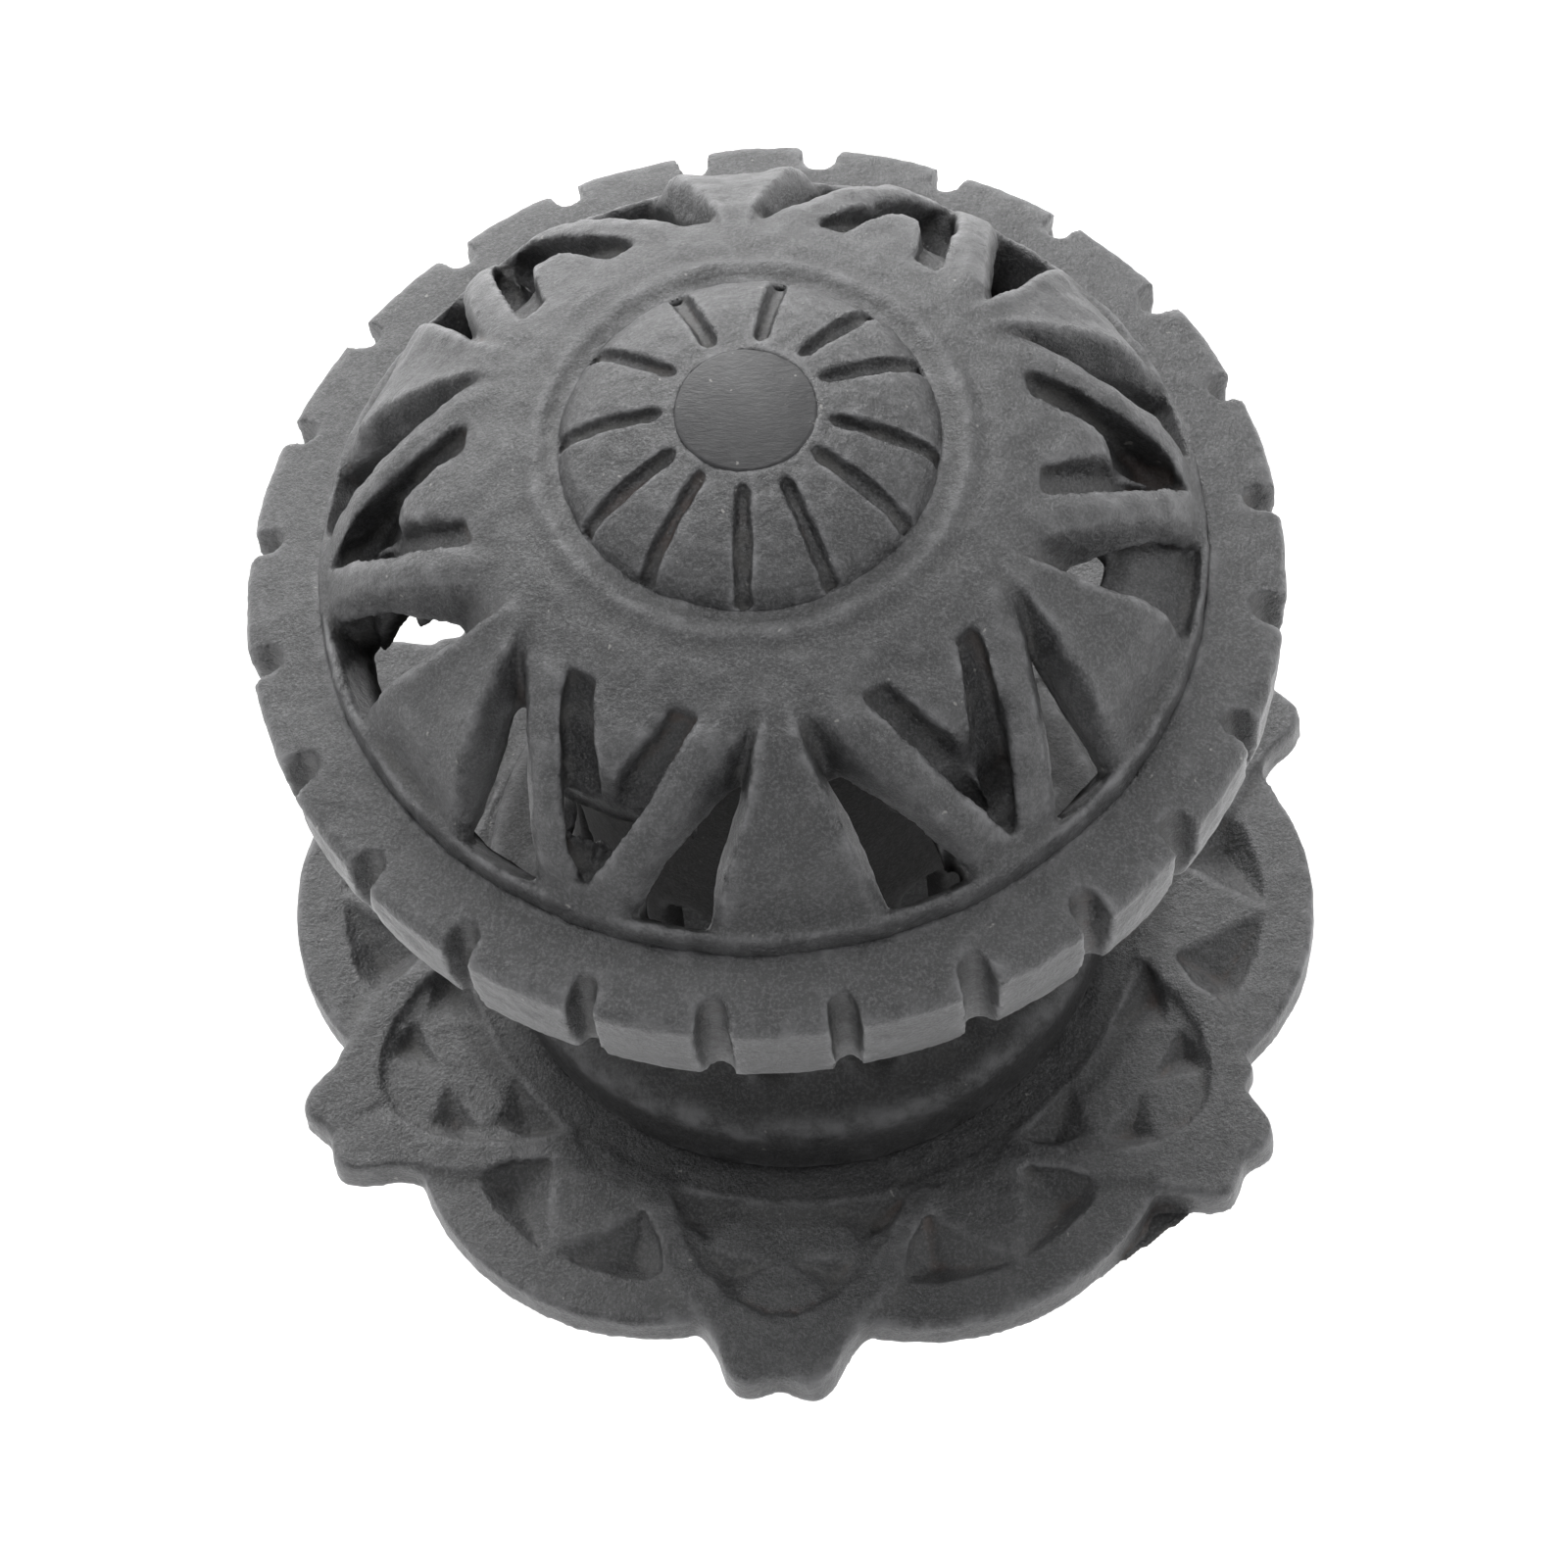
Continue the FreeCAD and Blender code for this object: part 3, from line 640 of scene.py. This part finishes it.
# %% Rose casting
seams = []
for tip in tip_angles:
    for side in (-1, 1):
        run = [(8.9, 47.9), (8.4, 48.9), (12.2, 43.6), (14.9, 38.0), (14.3, 37.8), (11.9, 43.2)]
        plan = [at_tip(tip, side * a, o) for a, o in run]
        seams.append(raised("seam", plan if side > 0 else plan[::-1], ROSE_TOP - 1.2, 6.0))
eye = turned("eye", [(0, -1), (13.05, -1), (13.05, 6), (0, 6)], 96)
seat = turned("seat", [(0, 4.0), (34.4, 4.0), (34.9, 4.4), (35.2, 6), (0, 6)], 192)
rose = joined("rose", [plate, ring] + bands)
rose = melted(rose, VOXEL * 0.85, 0)
rose = cut_away(rose, pits + seams + [eye, seat])
rose = melted(rose, VOXEL * 0.95, 1)
skin(rose, 3, [(0.11, 0.16), (0.45, 0.10), (1.3, 0.05)])
mark_wear(rose, 4, 30, 0.1, 0.7)
# A little painted shade on the rose next to the collar.
mark_painted_shade(rose, lambda radius, height: np.minimum((38.0 - radius) / 4.0, 0.2))
finished(rose, "rose_plate", "rose", iron)

# %% [markdown]
# ## Neck
# The neck is a hollow casting: a stepped collar that sits on the rose, a smooth cove above it, and a stem
# pierced by sixteen tall windows. It is turned in one go, then the windows are cut from the axis outward.

# %% Neck casting
NECK_TOP = 82.5
cove = [(21.5 + 8.2 * (1 - math.sin(math.radians(a))), 13.5 + 15.7 * (1 - math.cos(math.radians(a))))
        for a in range(0, 91, 10)]
neck_outside = [(30.2, 4.0), (31.2, 4.6), (31.5, 8.5), (31.9, 11.8), (31.6, 12.8), (30.9, 13.3)] + cove
neck_inside = [(13.5, NECK_TOP), (13.5, 75.5), (18.6, 71.5), (18.6, 22.0), (24.6, 12.0), (5.3, 12.0),
               (5.3, 7.8), (9.7, 7.8), (9.7, 1.4), (13.0, 1.4), (13.0, 4.0)]
neck = turned("neck", neck_outside + [(21.5, NECK_TOP)] + neck_inside, 256)
spread = math.tan(math.radians(7.2))


def window(angle):
    """Round-footed window whose sides run to the axis."""
    rings = []
    for radius in (9.0, 33.5):
        half = radius * spread
        ring = [(radius, half * math.cos(math.radians(a)), 17.3 + half * math.sin(math.radians(a)))
                for a in range(180, 361, 15)]
        ring += [(radius, half * math.cos(math.radians(a)), 34 + half * math.sin(math.radians(a)))
                 for a in range(0, 181, 15)]
        rings.append(ring)
    return turned_copy(lofted("window", rings), angle)


windows = [window(-2.0 + 22.5 * k + rng.uniform(-0.8, 0.8)) for k in range(16)]
for spare in [o for o in bpy.data.objects if o.name.startswith("window") and o not in windows]:
    bpy.data.objects.remove(spare)
neck = cut_away(neck, windows)
neck = melted(neck, VOXEL * 1.3, 2)
skin(neck, 11, [(0.10, 0.12), (0.5, 0.06), (1.2, 0.03)])
mark_wear(neck)
# Painted shade over the whole neck, heavier higher up under the dome.
mark_painted_shade(neck, lambda radius, height: np.clip((height - 10.0) / 18.0, 0.45, 0.85))
finished(neck, "knob", "neck", iron)

# %% [markdown]
# ## Rim ring
# The rim is a thick turned ring with twenty-four notches sawn through its edge for grip. No two notches
# are quite alike: each cutter gets its own width, depth and place from seeded chance.

# %% Rim ring casting
rim_profile = [(41.0, 57.0), (41.0, 65.6), (43.0, 65.6), (43.0, 70.2), (43.6, 70.1), (44.8, 69.7),
               (46.8, 69.2), (49.6, 68.3), (50.4, 67.8), (50.8, 66.9), (50.5, 63.8), (50.2, 61.2),
               (49.4, 58.4), (48.8, 56.4), (48.1, 55.9), (42.0, 55.9)]
rim_ring = turned("rim_ring", rim_profile, 320)
notches = []
for k in range(24):
    half = 1.45 + rng.uniform(-0.2, 0.3)
    deep = 2.9 + rng.uniform(-0.4, 0.4)
    inner = 50.4 - deep
    plan = [(53, half * 1.35), (inner + half, half)]
    plan += [(inner + half - half * math.sin(math.radians(a)), half * math.cos(math.radians(a)))
             for a in range(15, 180, 15)]
    plan += [(inner + half, -half), (53, -half * 1.35)]
    cutter = raised("notch", plan, 54, 72)
    notches += around(cutter, [KNOB_TURN + 4.0 + 15 * k + rng.uniform(-0.6, 0.6)])
rim_ring = cut_away(rim_ring, notches)
rim_ring = melted(rim_ring, VOXEL * 0.88, 1)
skin(rim_ring, 21, [(0.09, 0.24), (0.35, 0.15), (1.1, 0.07)])
mark_wear(rim_ring, 4, 30, 0.08, 0.6)
# Painted shade on the ring's inner wall below the lip.
mark_painted_shade(rim_ring, lambda radius, height: np.minimum((43.7 - radius) / 1.0, (69.6 - height) / 1.5))
finished(rim_ring, "knob", "rim_ring", iron)

# %% [markdown]
# ## Pierced dome
# Between rim and hub the dome is pierced: six broad petals run down to the rim, and six pointed arches
# stand between them. Under each arch a tongue points outward between two grooves. Every bar is lofted
# from cross-sections, so its side walls stay steep, and all of them are melted onto a turned hub and a
# turned edge ring.

# %% Dome heights
petal_turns = [37.3, 96.2, 156.2, 218.6, 277.6, 336.4]
arch_turns = [8.6, 66.2, 130.6, 185.0, 248.8, 308.2]


def slope(radius):
    """Height of the dome's rounded skin at a radius."""
    heights = [91.0, 89.9, 88.1, 85.2, 81.6, 78.6, 75.4, 73.2, 72.4]
    return float(np.interp(radius, [23, 26.2, 30, 34, 38, 40.4, 41.9, 42.7, 43.3], heights))


def under(radius):
    """Height of the dome's underside at a radius."""
    return float(np.interp(radius, [24.3, 30.0, 36.0, 38.3], [82.5, 79.8, 73.5, 66.0]))


hub = turned("hub", [(5.3, 82.5), (5.3, 89.9), (18.0, 89.9), (18.0, 92.4), (19.0, 92.2), (19.5, 92.1),
                     (20.1, 92.3), (20.9, 92.4), (21.7, 91.9), (22.4, 91.4), (24.2, 90.9), (26.2, 90.0),
                     (27.8, 89.1), (28.9, 88.0), (29.8, 85.0), (30.9, 79.8), (30.0, 79.6), (24.3, 82.5)],
             256)
edge = turned("edge", [(38.8, 66), (39.1, 67.0), (40.6, 70.0), (42.0, 72.2), (42.5, 73.0), (43.0, 73.2),
                       (43.3, 72.7), (43.35, 70.0), (43.35, 66)], 320)

# %% [markdown]
# A petal widens from a narrow root at the hub to a broad foot at the rim. Its face is dished a little, as a
# chisel left it in the pattern, and its side walls lean.

# %% Petals
petal_rows = [(25.2, 1.3, 1.7, 90.5), (28.0, 1.5, 2.4, 89.5), (30.5, 2.1, 3.4, 88.4), (33.0, 3.0, 4.7, 86.3),
              (35.5, 4.1, 6.1, 84.2), (37.5, 5.1, 7.1, 82.5), (39.3, 6.0, 7.9, 80.6), (40.4, 6.6, 8.4, 78.6),
              (41.1, 6.8, 8.6, 76.4), (41.8, 6.9, 8.7, 74.0), (42.5, 6.9, 8.7, 71.0)]


def petal(angle):
    """One petal with a slightly dished face and leaning side walls."""
    sections = []
    for radius, half_top, half_foot, top in petal_rows:
        dish = 0.4 if radius > 29 else 0.1
        jitter = rng.uniform(-0.15, 0.15)
        foot = max(under(radius) - 0.2, top - 9.5)
        row = [(-half_foot * 0.96, foot), (-half_foot, top - 5.0), (-half_top + jitter, top - 0.25),
               (-half_top * 0.86, top), (-half_top * 0.4, top - dish), (half_top * 0.4, top - dish),
               (half_top * 0.86, top), (half_top + jitter, top - 0.25), (half_foot, top - 5.0),
               (half_foot * 0.96, foot)]
        sections.append([at_tip(angle, across, radius, max(height, 66.0)) for across, height in row])
    return lofted("petal", sections)


petals = [petal(angle) for angle in petal_turns]

# %% [markdown]
# Each arch is two bars that start far apart at the hub and meet at the rim. The tongue is a turned block
# that fills the arch's root, until the grooves shape it.

# %% Arches and tongues
bar_rows = [(25.2, 30.0, 25.2, 13.6), (28.0, 25.6, 28.2, 13.8), (29.8, 22.2, 29.9, 12.8),
            (32.2, 18.0, 32.0, 10.7), (34.9, 14.1, 34.2, 8.0), (37.4, 11.1, 36.8, 5.2),
            (39.8, 8.6, 39.4, 2.6), (41.6, 6.5, 41.4, 0.4), (42.7, 4.8, 42.6, -1.6)]


def arch_bar(angle, side):
    """One side of a pointed arch, from hub to edge ring."""
    sections = []
    for outer_radius, outer_angle, inner_radius, inner_angle in bar_rows:
        outer = polar(outer_radius, angle + side * outer_angle)
        inner = polar(inner_radius, angle + side * inner_angle)
        middle_radius = (outer_radius + inner_radius) / 2
        top = slope(middle_radius) + 0.1
        low = max(under(middle_radius) - 0.1, top - np.interp(middle_radius, [28.0, 36.0], [8.0, 4.6]), 66.0)
        lift = rng.uniform(-0.12, 0.12)
        rows = [(-0.12, low), (-0.06, top - 1.8), (0.06, top - 0.2 + lift), (0.5, top + 0.3 + lift),
                (0.92, top - 0.1), (1.0, top - 1.4), (1.1, low)]
        ring = []
        for share, height in rows:
            spot = outer.lerp(inner, share)
            ring.append(Vector((spot.x, spot.y, height)))
        sections.append(ring if side > 0 else list(reversed(ring)))
    return lofted("arch_bar", sections)


bars = [arch_bar(angle, side) for angle in arch_turns for side in (-1, 1)]
tongues = [turned("tongue", [(24.0, 90.4), (27.5, 89.2), (30.5, 87.7), (32.6, 86.2), (33.8, 85.0),
                             (34.3, 83.4), (34.3, 75.6), (30.0, 79.5), (24.3, 82.5)], 28, 28.0,
                  angle - 14.0) for angle in arch_turns]
print(len(petals), "petals,", len(bars), "arch bars,", len(tongues), "tongue blocks")

# %% [markdown]
# Between the bars the arch is a valley. Its outer end has a floor, and in three of the six arches the
# hole in the valley was never opened. Two grooves with steep walls are carved from the hub into the
# valley and leave the tongue standing between them.

# %% Valleys and grooves
floors = []
for k, arch in enumerate(arch_turns):
    floors.append(turned("floor", [(36.6, slope(36.6) - 6.5), (39.6, slope(39.6) - 4.4),
                                   (42.0, slope(42.0) - 1.5), (42.0, 66), (38.3, 66), (36.6, 71.0)], 12,
                         13.0, arch - 6.5))
    if k in (0, 3, 5):
        floors.append(turned("closed_floor", [(33.0, slope(33.0) - 5.8), (38.0, slope(38.0) - 5.2),
                                              (38.0, 67.0), (33.0, 76.5)], 16, 17.0, arch - 8.5))
floors.append(turned("flash", [(33.6, 78.0), (36.4, 76.4), (42.0, 71.5), (42.0, 66.0), (38.3, 66.0),
                               (33.6, 75.0)], 18, 20.0, KNOB_TURN - 24.0))
groove_rows = [(27.8, 10.9, 1.35, 1.9), (28.6, 10.6, 1.5, 2.6), (30.4, 8.7, 1.7, 3.3), (32.3, 6.7, 1.85, 4.2),
               (34.1, 4.7, 1.95, 5.4), (35.4, 3.7, 1.95, 7.4), (37.1, 2.9, 1.7, 8.2), (38.9, 1.8, 1.3, 6.6),
               (40.4, 0.9, 0.85, 3.8)]


def groove(arch, side):
    """Steep-walled cutter for one groove, from the hub out and down to the valley."""
    widen = rng.uniform(0.9, 1.1)
    sections = []
    for radius, offset, half, deep in groove_rows:
        floor = slope(radius) - deep
        ring = [(-half * widen, 97.0), (-half * widen, floor + 0.5), (-half * widen * 0.6, floor),
                (half * widen * 0.6, floor), (half * widen, floor + 0.5), (half * widen, 97.0)]
        sections.append([at_tip(arch + side * offset, across, radius, height) for across, height in ring])
    return lofted("groove", sections)


grooves = [groove(angle + rng.uniform(-0.5, 0.5), side) for angle in arch_turns for side in (-1, 1)]
print(len(floors), "valley floors,", len(grooves), "grooves")

# %% [markdown]
# All the dome's shapes are melted into one skin, the grooves are cut with their edges still crisp, and a
# second remesh softens those a little. Roughness, wear with its painted glint, and painted shade follow.

# %% Dome casting
pierced_dome = joined("pierced_dome", [hub, edge] + petals + bars + tongues + floors)
pierced_dome = melted(pierced_dome, VOXEL * 0.85, 0)
pierced_dome = cut_away(pierced_dome, grooves)
pierced_dome = melted(pierced_dome, VOXEL * 0.95, 1)
skin(pierced_dome, 31, [(0.12, 0.28), (0.4, 0.2), (1.1, 0.08)])
mark_wear(pierced_dome, 4, 30, 0.09, 0.7)
# Painted shade on the dome's underside.
mark_painted_shade(pierced_dome, lambda radius, height: (np.interp(radius, [24.3, 30, 36, 38.3],
                                                          [84.5, 82.3, 77, 70.5]) - height) / 3.0)
finished(pierced_dome, "knob", "pierced_dome", iron)

# %% [markdown]
# ## Wheel boss
# The boss in the middle looks like a small wheel: a low round crown cut by twelve spokes. They were filed
# by hand, so they wander and taper. Each cutter is a long V-shaped wedge at its own angle, width and
# length.

# %% Boss casting
BOSS_SPOKES = [28.5, 52.5, 83.1, 116.3, 149.1, 181.8, 214.1, 240.2, 270.7, 298.3, 328.2, 355.2]
crown = [(7.3, 98.7), (8.5, 98.4), (10.5, 97.9), (12.5, 97.2), (14.5, 96.3), (16.4, 95.1), (17.3, 94.3),
         (17.9, 93.4), (18.4, 92.3), (18.6, 90.0)]
wheel_boss = turned("wheel_boss", [(5.3, 90.0), (5.3, 94.8), (6.75, 94.8), (6.75, 98.7)] + crown, 256)


def crown_height(radius):
    return float(np.interp(radius, [r for r, _ in crown], [z for _, z in crown]))


def spoke_cut(angle):
    """V-shaped wedge that follows the crown."""
    width = rng.uniform(0.88, 1.12)
    depth = rng.uniform(1.3, 1.65)
    start = rng.uniform(7.6, 8.2)
    lean = rng.uniform(-0.02, 0.02)
    sections = []
    for radius, fade in ((start, 0.45), (start + 0.8, 0.9), (12.5, 1.0), (15.5, 1.0), (17.0, 0.95),
                         (18.3, 1.05)):
        floor = crown_height(radius) - depth * fade
        half = width * fade
        drift = lean * (radius - start)
        ring = [(-half * 1.1, floor + depth * 2), (-half * 0.85, floor + depth * 0.7), (-half * 0.45, floor),
                (half * 0.45, floor), (half * 0.85, floor + depth * 0.7), (half * 1.1, floor + depth * 2)]
        sections.append([Vector((radius, across + drift, height)) for across, height in ring])
    return around(lofted("spoke", sections), [angle])[0]


wheel_boss = cut_away(wheel_boss, [spoke_cut(angle) for angle in BOSS_SPOKES])
wheel_boss = melted(wheel_boss, BOSS_VOXEL, 1)
skin(wheel_boss, 41, [(0.16, 0.22), (0.55, 0.14), (1.6, 0.05)])
mark_wear(wheel_boss, 4, 40, 0.04, 0.35)
finished(wheel_boss, "knob", "wheel_boss", iron)

# %% [markdown]
# ## Through bolt
# One long bolt clamps everything. Its round head is filed flush with the boss, the middle is a plain
# shank, and the tail carries a thread for the nut behind the door. A spin that also climbs makes the
# thread, one pitch a turn.

# %% Bolt
PITCH = 1.25
bolt_body = turned("bolt_body", [(0, -69.1), (2.6, -69.1), (3.25, -68.2), (3.25, -33.4), (3.9, -33.0),
                                 (4.0, -32.8), (4.0, 0.8), (5.0, 1.0), (5.0, 94.8), (6.7, 94.8),
                                 (7.0, 95.1), (7.0, 98.3), (6.85, 98.7), (6.6, 98.8), (0, 98.8)], 64)
bm = bmesh.new()
ridge = [bm.verts.new(point) for point in ((3.1, 0, -0.60), (3.92, 0, -0.1), (3.92, 0, 0.1), (3.1, 0, 0.60))]
bm.faces.new(ridge)
bmesh.ops.translate(bm, verts=bm.verts, vec=(0, 0, -68.0))
TURNS, PER_TURN = 27, 24
bmesh.ops.spin(bm, geom=bm.verts[:] + bm.edges[:] + bm.faces[:], cent=(0, 0, 0), axis=UPRIGHT,
               dvec=(0, 0, PITCH / PER_TURN), angle=math.radians(360 * TURNS), steps=TURNS * PER_TURN)
thread = mesh_object("thread", bm)
through_bolt = joined("through_bolt", [bolt_body, thread])
finished(through_bolt, "knob", "through_bolt", bolt_iron)

# %% [markdown]
# ## Washers and nut behind the door
# A broad washer spreads the pull over the door, a split spring washer keeps the nut tight, and the nut
# has the usual chamfered corners. They are turned or raised from plain plans and bevelled.


# %% Back fastenings
def bevelled(shape, width, segments=2, angle=0.6):
    """Rounds the sharp edges of a plain shape."""
    bm = bmesh.new()
    bm.from_mesh(shape.data)
    sharp = [e for e in bm.edges if len(e.link_faces) == 2 and e.calc_face_angle(0) > angle]
    bmesh.ops.bevel(bm, geom=sharp, offset=width, affect="EDGES", segments=segments, profile=0.5, material=-1)
    bm.to_mesh(shape.data)
    bm.free()
    return shape


def hexagon_nut():
    """Hexagon with its corners turned off at both ends, and a bore."""
    outer = raised("back_nut", [polar(7.506, 60 * k) for k in range(6)], -55.1, -48.6)
    collar = turned("collar", [(6.4, -56), (9, -56), (9, -47), (6.4, -47), (6.4, -48.6), (7.55, -49.25),
                               (7.55, -54.45), (6.4, -55.1)], 96)
    bore = turned("bore", [(0, -56), (3.97, -56), (3.97, -47), (0, -47)], 64)
    return cut_away(outer, [collar, bore])


back_washer = bevelled(turned("back_washer", [(4.27, -46.5), (15, -46.5), (15, -44), (4.27, -44)], 128), 0.25)
finished(back_washer, "washers", "back_washer", steel)
spring_washer = turned("spring_washer", [(4.27, -48.6), (7.4, -48.6), (7.4, -46.5), (4.27, -46.5)], 96,
                       349.0, 5.5)
finished(bevelled(spring_washer, 0.15), "washers", "spring_washer", steel)
finished(hexagon_nut(), "nut", "back_nut", steel)
for piece in ("through_bolt", "back_washer", "spring_washer", "back_nut"):
    bpy.data.objects[piece].data.set_sharp_from_angle(angle=math.radians(32))

# %% [markdown]
# ## Floor, light and camera
# The object hangs over a pale studio floor, lower than the bolt's end. A big soft light stands behind,
# weaker ones to the left, above and to the right, and a bright pale sky fills in.

# %% Floor
bm = bmesh.new()
bmesh.ops.create_grid(bm, x_segments=2, y_segments=2, size=4.0)
bmesh.ops.translate(bm, verts=bm.verts, vec=(0, 0, FLOOR_HEIGHT))
floor = mesh_object("studio_floor", bm)
chalk, nodes, links, surface = fresh_material("pale_floor")
surface.inputs["Base Color"].default_value = (0.92, 0.92, 0.92, 1)
surface.inputs["Roughness"].default_value = 0.9
surface.inputs["Emission Color"].default_value = (1, 1, 1, 1)
surface.inputs["Emission Strength"].default_value = 0.2
floor.data.materials.append(chalk)

# %% [markdown]
# Four square lights give long soft sheens on the dull black iron. They are large and near, so no shadow has
# a hard edge.

# %% Light
sky = bpy.data.worlds.new("pale_sky")
scene.world = sky
sky.use_nodes = True
sky.node_tree.nodes["Background"].inputs["Color"].default_value = (0.98, 0.985, 1.0, 1)
sky.node_tree.nodes["Background"].inputs["Strength"].default_value = 0.62


def soft_light(name, place, size, power, aim=(0, 0, 0.05)):
    """A square soft light that faces a point."""
    lamp = bpy.data.lights.new(name, "AREA")
    lamp.shape = "SQUARE"
    lamp.size = size
    lamp.energy = power
    holder = bpy.data.objects.new(name, lamp)
    holder.location = place
    holder.rotation_euler = (Vector(aim) - Vector(place)).to_track_quat("-Z", "Y").to_euler()
    scene.collection.objects.link(holder)
    return holder


soft_light("back_light", (-0.35, 1.4, 0.75), 1.3, 31)
soft_light("left_light", (-1.3, 0.3, 0.8), 0.8, 8)
soft_light("top_light", (0.0, 0.5, 1.7), 0.9, 9)
soft_light("right_light", (1.3, 0.2, 0.8), 0.7, 6)

# %% [markdown]
# The camera looks down from the front at sixty degrees, from just over a metre, so that the boss, the pierced
# dome, the rim and the rose's front half all show.

# %% Camera
lens = bpy.data.cameras.new("camera")
lens.sensor_width = 36
lens.lens = 245.4
lens.clip_end = 20
camera = bpy.data.objects.new("camera", lens)
forward = Vector((-0.07563, 0.50260, -0.86120)).normalized()
upward = Vector((-0.01173, 0.86317, 0.50478))
sideways = forward.cross(upward).normalized()
upward = sideways.cross(forward)
camera.matrix_world = Matrix((sideways, upward, -forward)).transposed().to_4x4()
camera.location = (0.08079, -0.54060, 0.95458)
scene.collection.objects.link(camera)
scene.camera = camera
scene.view_settings.view_transform = "Standard"
print("camera stands at", tuple(round(x, 4) for x in camera.location))
